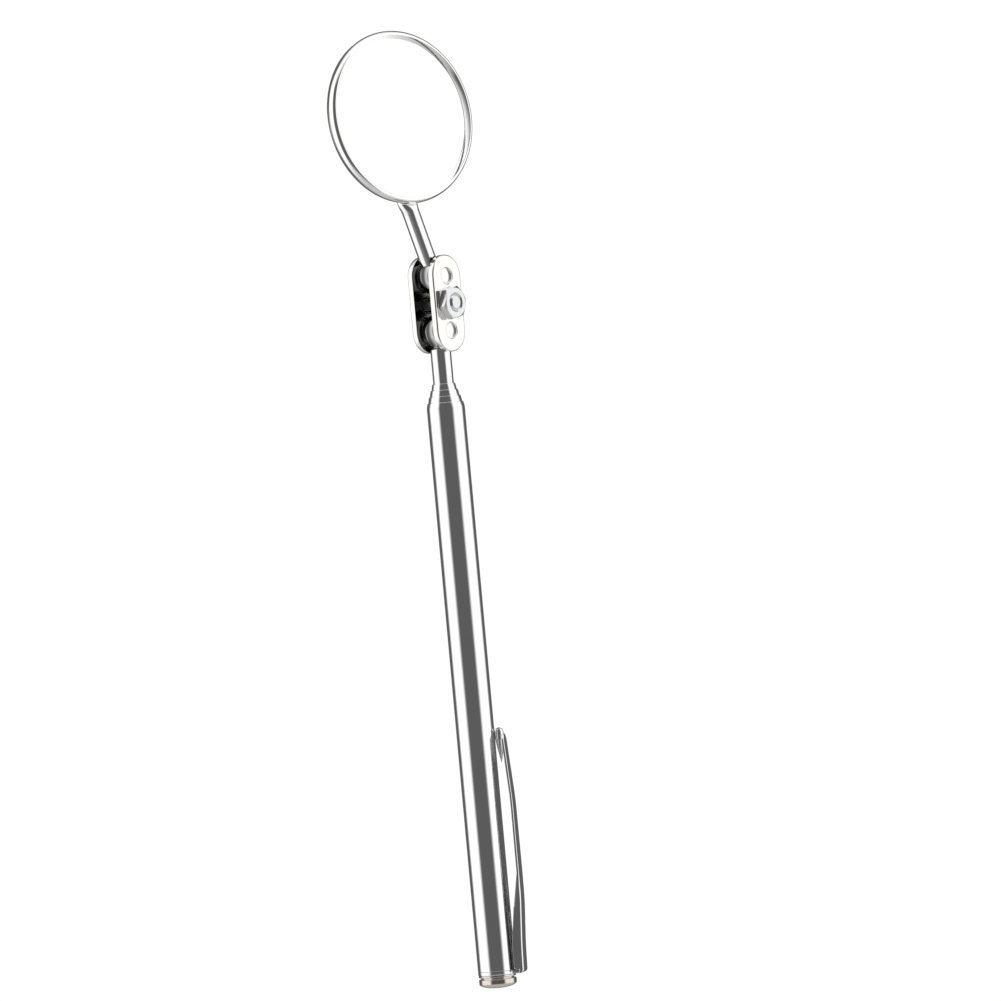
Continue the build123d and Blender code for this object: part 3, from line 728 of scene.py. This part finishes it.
def clip_piece():
    """Pocket clip folded from sheet: bend at the foot, tapering flanges, bowed strap, rounded tip."""
    low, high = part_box("pocket_clip")
    bottom = low.z / MM
    foot = CLIP_FLANGE[0][0]
    tip_half = CLIP_TIP_WIDTH / 2
    tip_start = CLIP_TOP - tip_half
    rows = []

    def outer_at(height):
        return bowed(CLIP_STRAP, height)

    def edge_at(height):
        if height >= CLIP_FLANGE_TOP:
            return outer_at(height) - CLIP_SHEET - 0.02
        return min(bowed(CLIP_FLANGE, height, 1.0), outer_at(height) - CLIP_SHEET - 0.02)

    def half_at(height):
        if height < CLIP_FLANGE_FULL:
            return CLIP_WIDTH / 2
        taper = (height - CLIP_FLANGE_FULL) / (tip_start - CLIP_FLANGE_FULL)
        if height > tip_start:
            return max(0.07, sqrt(max(0, tip_half**2 - (height - tip_start) ** 2)))
        return CLIP_WIDTH / 2 + (tip_half - CLIP_WIDTH / 2) * min(1, taper)

    foot_web = CLIP_FOOT_IN + 0.012
    for n in range(9):
        angle = pi / 2 * n / 8
        height = bottom + CLIP_BEND * (1 - cos(angle))
        outer = outer_at(height) - CLIP_BEND * (1 - sin(angle))
        rows.append(clip_row(min(height, foot), outer, foot_web, CLIP_FOOT_IN, CLIP_WIDTH / 2, 0.6))
    rows.append(clip_row(foot, outer_at(foot), foot_web, CLIP_FOOT_IN, CLIP_WIDTH / 2, 0.6))
    heights = [foot, 0.5, 1.5, 3.0] + [3.6 + 0.5 * n for n in range(40)]
    heights = [height for height in heights if height < CLIP_FLANGE_TOP] + [CLIP_FLANGE_TOP]
    heights += [CLIP_FLANGE_TOP + (tip_start - CLIP_FLANGE_TOP) * n / 30 for n in range(1, 31)]
    heights += [tip_start + tip_half * sin(pi / 2 * n / 12) for n in range(1, 13)]
    for height in heights:
        half = half_at(height)
        outer = outer_at(height)
        margin = CLIP_SHEET if height < CLIP_FLANGE_TOP - 1.5 else min(CLIP_SHEET, 0.3 * half)
        pocket_half = max(0.02, half - margin)
        rows.append(clip_row(height, outer, outer - CLIP_SHEET, edge_at(height), half, pocket_half))
    points, faces = [], []
    for row in rows:
        points += row
    count = len(rows[0])
    for level in range(len(rows) - 1):
        for step in range(count):
            after = (step + 1) % count
            base, above = level * count, (level + 1) * count
            faces.append((base + step, base + after, above + after, above + step))
    faces.append(tuple(range(count))[::-1])
    faces.append(tuple(range(len(points) - count, len(points))))
    centre = Vector((TEAR_X, 0, 0))
    drop = []
    steps = 30
    for n in range(steps + 1):
        share = n / steps
        swell = TEAR_RADIUS * (sin(pi * share**0.42)) ** 0.85 if 0 < n < steps else 0
        drop.append((swell, high.z / MM - TEAR_LENGTH * share))
    more, more_faces = lathe_mesh(drop[::-1], frame_of(centre, UP, Vector((1, 0, 0))), 48)
    start = len(points)
    points += more
    faces += [tuple(i + start for i in face) for face in more_faces]
    mesh_piece("pocket_clip_folded", points, faces, materials["clip"], "clip", "pocket_clip")


clip_piece()


# ---- Double-ball link ----


def ball_piece(name, centre, stem_side, flat_radius, body, node):
    """Polished steel ball with a flat and a bore where its stem is pressed in."""
    flat = sqrt(BALL_RADIUS**2 - flat_radius**2)
    start = -90.0
    end = 90 - degrees_of(flat_radius / BALL_RADIUS)
    outline = [(0, -BALL_RADIUS)] + arc((0, 0), BALL_RADIUS, start, end, 60)[1:]
    outline += [(1.02, flat), (1.02, flat - 2.3), (0, flat - 2.3)]
    points, faces = lathe_mesh(outline, frame_of(centre, stem_side, PLATE_NORMAL), 112)
    mesh_piece(name, points, faces, materials["ball"], body, node)


def degrees_of(sine):
    return atan2(sine, sqrt(1 - sine * sine)) * 180 / pi


ball_piece("lower_ball_ground", LOWER_BALL, -UP, NECK_RADIUS, "rod", "lower_ball")
ball_piece("upper_ball_ground", UPPER_BALL, STEM_DIRECTION, STEM_RADIUS, "swivel_ball", "upper_ball")


def link_plate_piece(side, node):
    """Clamp plate: eased stadium outline, a window and ground seat at each ball, screw hole."""
    outward = PLATE_NORMAL * side
    across = UP
    second = outward.cross(across)
    half = BALL_SPACING / 2
    width = PLATE_WIDTH / 2
    base = PLATE_GAP / 2
    face = base + PLATE_THICKNESS
    edge = PLATE_EDGE
    points, faces = [], []
    caps = {"outer": [], "inner": []}

    def place(x, y, height):
        return LINK_MIDDLE + across * x + second * y + outward * height

    def add_loops(loops):
        numbers = []
        for loop in loops:
            numbers.append(list(range(len(points), len(points) + len(loop))))
            points.extend(place(*p) for p in loop)
        for low, high in zip(numbers, numbers[1:]):
            for step in range(len(low)):
                after = (step + 1) % len(low)
                faces.append((low[step], low[after], high[after], high[step]))
        return numbers[0], numbers[-1]

    def stadium(inset, height, steps=48):
        radius = width - inset
        loop = []
        for end, start in ((half, -0.5), (-half, 0.5)):
            for n in range(steps + 1):
                angle = pi * (n / steps + start)
                loop.append((end + radius * cos(angle), radius * sin(angle), height))
        return loop

    def circle(x, radius, height, steps=72):
        turns = [2 * pi * n / steps for n in range(steps)]
        return [(x + radius * cos(turn), radius * sin(turn), height) for turn in turns]

    wall = [stadium(0.08, base), stadium(0.02, base + 0.02), stadium(0, base + 0.08), stadium(0, face - edge)]
    for n in range(1, 9):
        angle = pi / 2 * n / 8
        wall.append(stadium(edge * (1 - cos(angle)), face - edge + edge * sin(angle)))
    first, last = add_loops(wall)
    caps["inner"].append(first)
    caps["outer"].append(last)
    seat = BALL_RADIUS + SEAT_CLEARANCE
    for x in (-half, half):
        loops = []
        window = PLATE_WINDOW
        start = sqrt(seat**2 - base**2)
        for n in range(13):
            radius = start + (window - start) * n / 12
            loops.append(circle(x, radius, sqrt(seat**2 - radius**2)))
        ease = WINDOW_EDGE
        loops.append(circle(x, window, face - ease))
        for n in range(1, 6):
            angle = pi / 2 * n / 5
            loops.append(circle(x, window + ease * (1 - cos(angle)), face - ease + ease * sin(angle)))
        first, last = add_loops(loops)
        caps["inner"].append(first)
        caps["outer"].append(last)
    eased = SCREW_HOLE + SCREW_HOLE_EDGE
    first, last = add_loops([
        circle(0, eased, base),
        circle(0, SCREW_HOLE, base + SCREW_HOLE_EDGE),
        circle(0, SCREW_HOLE, face - SCREW_HOLE_EDGE),
        circle(0, eased, face),
    ])
    caps["inner"].append(first)
    caps["outer"].append(last)
    for loops in caps.values():
        flat = []
        for loop in loops:
            offsets = [points[i] - LINK_MIDDLE for i in loop]
            flat.append([Vector((offset.dot(across), offset.dot(second), 0)) for offset in offsets])
        order = [i for loop in loops for i in loop]
        faces.extend(tuple(order[i] for i in triangle) for triangle in tessellate_polygon(flat))
    mesh_piece(node + "_stamped", points, faces, materials["plate"], "link", node)


link_plate_piece(1, "front_plate")
link_plate_piece(-1, "rear_plate")

PLATE_FACE = PLATE_GAP / 2 + PLATE_THICKNESS
NUT_BASE = PLATE_FACE + JOINT_GAP
THREAD_TOP = NUT_BASE + NUT_THICKNESS + SCREW_END
HEAD_BASE = -PLATE_FACE - JOINT_GAP


def screw_piece():
    """Slotted cheese-head machine screw with a cut thread at its end."""
    crest = THREAD_TOP - SCREW_POINT
    outline = [(0, THREAD_TOP), (SCREW_RADIUS - SCREW_POINT, THREAD_TOP), (SCREW_RADIUS - 0.04, crest)]
    for turn in range(6):
        top = crest - THREAD_PITCH * turn
        outline += [
            (SCREW_RADIUS, top - 0.04),
            (SCREW_RADIUS - 0.2, top - THREAD_PITCH / 2 + 0.04),
            (SCREW_RADIUS - 0.2, top - THREAD_PITCH / 2 - 0.04),
            (SCREW_RADIUS, top - THREAD_PITCH + 0.04),
        ]
    side_end = HEAD_BASE - SCREW_HEAD_SIDE
    outline += [(SCREW_RADIUS, HEAD_BASE), (SCREW_HEAD_RADIUS, HEAD_BASE, 0.08), (SCREW_HEAD_RADIUS, side_end)]
    points_above = 16
    for n in range(1, points_above + 1):
        angle = pi / 2 * n / points_above
        outline.append((
            SCREW_HEAD_RADIUS * cos(angle) ** 0.8 if n < points_above else 0,
            side_end - (SCREW_HEAD_HEIGHT - SCREW_HEAD_SIDE) * sin(angle),
        ))
    outline = rounded(outline)
    points, faces = lathe_mesh(outline[::-1], frame_of(LINK_MIDDLE, PLATE_NORMAL, UP), 96)
    slot_turn = Matrix.Rotation(radians(SCREW_SLOT_TURN), 3, PLATE_NORMAL) @ UP
    slot_side = PLATE_NORMAL.cross(slot_turn)
    floor = HEAD_BASE - SCREW_HEAD_HEIGHT + SCREW_SLOT_DEPTH
    corners = []
    for along in (-4, 4):
        for side in (-SCREW_SLOT_WIDTH / 2, SCREW_SLOT_WIDTH / 2):
            for height in (floor, floor - 2):
                corners.append(LINK_MIDDLE + slot_turn * along + slot_side * side + PLATE_NORMAL * height)
    cutter = (corners, [(0, 1, 3, 2), (4, 6, 7, 5), (0, 4, 5, 1), (2, 3, 7, 6), (0, 2, 6, 4), (1, 5, 7, 3)])
    points, faces = cut((points, faces), cutter)
    mesh_piece("pinch_screw_cut", points, faces, materials["fastener"], "link", "pinch_screw", sharp=32)


def closed_mesh(name, shape):
    """Temporary object from a (points, faces) shape, with its normals made to point outwards."""
    points, faces = shape
    mesh = bpy.data.meshes.new(name)
    mesh.from_pydata([Vector(p) for p in points], [], faces)
    work = bmesh.new()
    work.from_mesh(mesh)
    bmesh.ops.remove_doubles(work, verts=work.verts, dist=1e-5)
    bmesh.ops.recalc_face_normals(work, faces=work.faces)
    work.to_mesh(mesh)
    work.free()
    piece = bpy.data.objects.new(name, mesh)
    bpy.context.scene.collection.objects.link(piece)
    return piece


def cut(shape, cutter):
    """Subtracts one closed shape from another, both (points, faces) in millimetres."""
    body = closed_mesh("body", shape)
    tool = closed_mesh("tool", cutter)
    step = body.modifiers.new("cut", "BOOLEAN")
    step.operation = "DIFFERENCE"
    step.solver = "EXACT"
    step.object = tool
    result = bpy.data.meshes.new_from_object(body.evaluated_get(bpy.context.evaluated_depsgraph_get()))
    points = [v.co.copy() for v in result.vertices]
    faces = [tuple(p.vertices) for p in result.polygons]
    for piece in (body, tool):
        mesh = piece.data
        bpy.data.objects.remove(piece)
        bpy.data.meshes.remove(mesh)
    bpy.data.meshes.remove(result)
    return points, faces


screw_piece()


def nut_piece():
    """Hexagon nut: chamfered corners on both faces and a countersunk thread."""
    flat = NUT_ACROSS_FLATS / 2
    corner = NUT_ACROSS_FLATS / sqrt(3)
    chamfer_start = flat - 0.1
    turned = Matrix.Rotation(radians(NUT_TURN), 3, PLATE_NORMAL) @ UP
    place = frame_of(LINK_MIDDLE + PLATE_NORMAL * NUT_BASE, PLATE_NORMAL, turned)

    def hexagon(radius, height, angle):
        if radius < flat - 0.5:
            return radius
        within = (angle + pi / 6) % (pi / 3) - pi / 6
        return min(radius, flat / cos(within))

    bore = SCREW_RADIUS + 0.05
    rise = corner - chamfer_start
    sink = 0.3
    outline = [(bore, sink), (bore + sink, 0.0), (chamfer_start, 0.0)]
    outline += [(chamfer_start + rise * n / 10, NUT_CHAMFER * n / 10) for n in range(1, 11)]
    for n in range(11):
        left = (10 - n) / 10
        outline.append((chamfer_start + rise * left, NUT_THICKNESS - NUT_CHAMFER * left))
    outline += [(bore + sink, NUT_THICKNESS), (bore, NUT_THICKNESS - sink)]
    points, faces = lathe_mesh(outline, place, 216, hexagon)
    mesh_piece("hex_nut_cut", points, faces, materials["fastener"], "nut", "hex_nut", sharp=24)


nut_piece()

# ---- Mirror head ----
BACK = -CUP_DEPTH / 2
FRONT = CUP_DEPTH / 2
FLOOR = BACK + CUP_SHEET
LIP_UNDER = FRONT - LIP_HEIGHT
HEAD_PLACE = frame_of(MIRROR_CENTRE, MIRROR_NORMAL, MIRROR_SIDE)


def cup_piece():
    """Pressed cup: rounded corner at the back, wall, and a rim hemmed over onto the glass."""
    visible = CUP_RADIUS - LIP_WIDTH
    inside = CUP_BACK_RADIUS - CUP_SHEET
    crown = CUP_RADIUS - CROWN_WIDTH
    outline = [(0, BACK)] + arc((CUP_BACK_RADIUS - 0.6, BACK + 0.6), 0.6, -90, 0) + [(CUP_RADIUS, 0)]
    for step in range(1, 17):
        turn = radians(90 * step / 16)
        outline.append((crown + CROWN_WIDTH * max(0.0, cos(turn)) ** 0.9, FRONT * sin(turn) ** 0.9))
    hem = [(crown, FRONT), (crown - CROWN_ROUND, FRONT - CROWN_ROUND / 2, 0.1)]
    hem += [(visible, LIP_UNDER, 0.04), (inside, LIP_UNDER), (inside, FLOOR, 0.3), (0, FLOOR)]
    outline += rounded(hem, steps=6)[1:]
    points, faces = lathe_mesh(outline, HEAD_PLACE, 256)
    mesh_piece("mirror_cup_pressed", points, faces, materials["cup"], "head", "mirror_cup")


cup_piece()


def glass_material():
    """Silvered glass: a clean mirror with faint wipe marks and specks of dust."""
    material = bpy.data.materials.new("mirror_glass")
    material.use_nodes = True
    tree = material.node_tree
    tree.nodes.clear()
    add, link = node_maker(tree)
    shader = add("ShaderNodeBsdfPrincipled")
    shader.inputs["Metallic"].default_value = 1.0
    shader.inputs["Coat Weight"].default_value = 0.35
    shader.inputs["Coat Roughness"].default_value = 0.01
    out = add("ShaderNodeOutputMaterial")
    link(shader.outputs[0], out.inputs["Surface"])
    place = add("ShaderNodeTexCoord")
    wipe = add("ShaderNodeTexNoise")
    wipe.inputs["Scale"].default_value = 60.0
    wipe.inputs["Detail"].default_value = 6.0
    wipe.inputs["Distortion"].default_value = 1.2
    link(place.outputs["Object"], wipe.inputs["Vector"])
    gloss = add("ShaderNodeMapRange")
    gloss.inputs["From Min"].default_value = 0.45
    gloss.inputs["From Max"].default_value = 0.8
    gloss.inputs["To Min"].default_value = 0.0
    gloss.inputs["To Max"].default_value = 0.035
    link(wipe.outputs["Fac"], gloss.inputs["Value"])
    link(gloss.outputs[0], shader.inputs["Roughness"])
    dust = add("ShaderNodeTexVoronoi")
    dust.inputs["Scale"].default_value = 900.0
    link(place.outputs["Object"], dust.inputs["Vector"])
    speck = add("ShaderNodeValToRGB")
    fill_ramp(speck.color_ramp, [
        (0.0, (0.90, 0.91, 0.90)), (0.045, (0.955, 0.965, 0.96)), (1.0, (0.96, 0.97, 0.965)),
    ])
    link(dust.outputs["Distance"], speck.inputs[0])
    link(speck.outputs[0], shader.inputs["Base Color"])
    return material


def glass_piece():
    """Glass disc with a seamed edge on both faces."""
    back = FLOOR + 0.22
    front = LIP_UNDER - 0.02
    seam = 0.2
    outline = [
        (0, back),
        (GLASS_RADIUS - seam, back, 0.03),
        (GLASS_RADIUS, back + seam, 0.03),
        (GLASS_RADIUS, front - seam, 0.03),
        (GLASS_RADIUS - seam, front, 0.03),
        (0, front),
    ]
    points, faces = lathe_mesh(rounded(outline), HEAD_PLACE, 192)
    mesh_piece("mirror_glass_disc", points, faces, glass_material(), "head", "mirror_glass", sharp=20)


glass_piece()


def stem_piece():
    """Stem: round bar that flattens into a tongue brazed behind the cup."""
    flat = sqrt(BALL_RADIUS**2 - STEM_RADIUS**2) + JOINT_GAP
    straight = 13.2
    end = UPPER_BALL + STEM_DIRECTION * straight
    tongue_level = BACK - JOINT_GAP - 0.55
    rows = []

    def tongue_point(distance):
        return MIRROR_CENTRE + MIRROR_NORMAL * tongue_level - MIRROR_UP * distance

    def section(centre, axis, roundness, half_wide, half_thick, twist):
        """Superellipse between a circle (roundness 2) and a rounded bar."""
        thick = (MIRROR_NORMAL - axis * MIRROR_NORMAL.dot(axis)).normalized()
        wide = axis.cross(thick)
        loop = []
        for n in range(72):
            angle = 2 * pi * n / 72 + twist
            c, s = cos(angle), sin(angle)
            x = half_wide * abs(c) ** (2 / roundness) * (1 if c >= 0 else -1)
            y = half_thick * abs(s) ** (2 / roundness) * (1 if s >= 0 else -1)
            loop.append(centre + wide * x + thick * y)
        return loop

    def level(distance, radius):
        rows.append(section(UPPER_BALL + STEM_DIRECTION * distance, STEM_DIRECTION, 2, radius, radius, 0))

    level(flat - 2.22, 0.02)
    level(flat - 2.22, 1.0)
    level(flat, 1.0)
    level(flat, STEM_RADIUS - 0.06)
    level(flat + 0.06, STEM_RADIUS)
    for n in range(1, 12):
        level(flat + (straight - flat) * n / 11, STEM_RADIUS)
    target = tongue_point(14.4)
    reach = (target - end).length / 2.6
    p1, p2 = end + STEM_DIRECTION * reach, target - MIRROR_UP * reach
    for n in range(1, 19):
        t = n / 18
        spot = end * (1 - t) ** 3 + p1 * 3 * t * (1 - t) ** 2 + p2 * 3 * t * t * (1 - t) + target * t**3
        heading = (p1 - end) * 3 * (1 - t) ** 2 + (p2 - p1) * 6 * t * (1 - t) + (target - p2) * 3 * t * t
        mix = t * t * (3 - 2 * t)
        rows.append(section(
            spot, heading.normalized(), 2 + 2.5 * mix,
            STEM_RADIUS + (2.2 - STEM_RADIUS) * mix, STEM_RADIUS + (0.55 - STEM_RADIUS) * mix, 0,
        ))
    for n in range(1, 9):
        rows.append(section(tongue_point(14.4 - (14.4 - 8.5) * n / 8), MIRROR_UP, 4.5, 2.2, 0.55, 0))
    for n in range(1, 11):
        angle = pi / 2 * n / 10
        wide = max(0.05, 2.2 * cos(angle))
        rows.append(section(tongue_point(8.5 - 2.2 * sin(angle)), MIRROR_UP, 4.5, wide, 0.55, 0))
    points, faces = [], []
    for row in rows:
        points += row
    count = len(rows[0])
    for number in range(len(rows) - 1):
        for step in range(count):
            after = (step + 1) % count
            base, above = number * count, (number + 1) * count
            faces.append((base + step, base + after, above + after, above + step))
    faces.append(tuple(range(count))[::-1])
    faces.append(tuple(range(len(points) - count, len(points))))
    gap = CUP_RADIUS + JOINT_GAP
    seat, clear = BACK - JOINT_GAP / 2, FRONT + 3
    cup_space = lathe_mesh([(0, seat), (gap, seat), (gap, clear), (0, clear)], HEAD_PLACE, 256)
    points, faces = cut((points, faces), cup_space)
    mesh_piece("mirror_stem_forged", points, faces, materials["rod"], "head", "mirror_stem", sharp=35)


stem_piece()

# ---- Hidden CAD parts that keep their shape ----


def dress(node, material):
    """Gives a CAD node's object a material."""
    slots = frame["nodes"][node].material_slots
    if not slots:
        frame["nodes"][node].data.materials.append(material)
    for place in slots:
        place.material = material


for number in (1, 2, 3, 4):
    dress(f"friction_sleeve_{number}", materials["sleeve"])


def foam_material():
    """Grey felt pad: short mottled pile."""
    material = bpy.data.materials.new("pad_foam")
    material.use_nodes = True
    tree = material.node_tree
    tree.nodes.clear()
    add, link = node_maker(tree)
    shader = add("ShaderNodeBsdfPrincipled")
    shader.inputs["Roughness"].default_value = 0.95
    shader.inputs["Sheen Weight"].default_value = 0.4
    out = add("ShaderNodeOutputMaterial")
    link(shader.outputs[0], out.inputs["Surface"])
    place = add("ShaderNodeTexCoord")
    pile = add("ShaderNodeTexNoise")
    pile.inputs["Scale"].default_value = 1800.0
    pile.inputs["Detail"].default_value = 5.0
    link(place.outputs["Object"], pile.inputs["Vector"])
    tone = add("ShaderNodeValToRGB")
    fill_ramp(tone.color_ramp, [(0.3, (0.10, 0.10, 0.10)), (0.7, (0.22, 0.22, 0.21))])
    link(pile.outputs["Fac"], tone.inputs[0])
    link(tone.outputs[0], shader.inputs["Base Color"])
    bump = add("ShaderNodeBump")
    bump.inputs["Strength"].default_value = 0.6
    bump.inputs["Distance"].default_value = 0.0001
    link(pile.outputs["Fac"], bump.inputs["Height"])
    link(bump.outputs[0], shader.inputs["Normal"])
    return material


dress("backing_pad", foam_material())

# ---- Floor ----


def make_floor():
    """Pale disc below the object, fading into the white backdrop at its rim."""
    radius, rings, segments = 0.5, 12, 96
    points = [(0, 0, -0.12)]
    faces = []
    for ring in range(1, rings + 1):
        reach = radius * ring / rings
        for step in range(segments):
            angle = 2 * pi * step / segments
            points.append((reach * cos(angle), reach * sin(angle), -0.12))
    for step in range(segments):
        faces.append((0, 1 + step, 1 + (step + 1) % segments))
    for ring in range(rings - 1):
        for step in range(segments):
            low, high = 1 + ring * segments, 1 + (ring + 1) * segments
            after = (step + 1) % segments
            faces.append((low + step, high + step, high + after, low + after))
    mesh = bpy.data.meshes.new("floor")
    mesh.from_pydata(points, [], faces)
    floor = bpy.data.objects.new("floor", mesh)
    bpy.context.scene.collection.objects.link(floor)
    material = bpy.data.materials.new("floor_paper")
    material.use_nodes = True
    tree = material.node_tree
    tree.nodes.clear()
    add, link = node_maker(tree)
    shader = add("ShaderNodeBsdfPrincipled")
    shader.inputs["Base Color"].default_value = (0.82, 0.82, 0.82, 1)
    shader.inputs["Roughness"].default_value = 0.85
    clear = add("ShaderNodeBsdfTransparent")
    place = add("ShaderNodeTexCoord")
    length = add("ShaderNodeVectorMath", operation="LENGTH")
    link(place.outputs["Object"], length.inputs[0])
    fade = add("ShaderNodeMapRange", interpolation_type="SMOOTHSTEP")
    fade.inputs["From Min"].default_value = 0.08
    fade.inputs["From Max"].default_value = radius * 0.96
    link(length.outputs["Value"], fade.inputs["Value"])
    mix = add("ShaderNodeMixShader")
    link(fade.outputs[0], mix.inputs["Fac"])
    link(shader.outputs[0], mix.inputs[1])
    link(clear.outputs[0], mix.inputs[2])
    out = add("ShaderNodeOutputMaterial")
    link(mix.outputs[0], out.inputs["Surface"])
    mesh.materials.append(material)


make_floor()

bpy.context.view_layer.update()
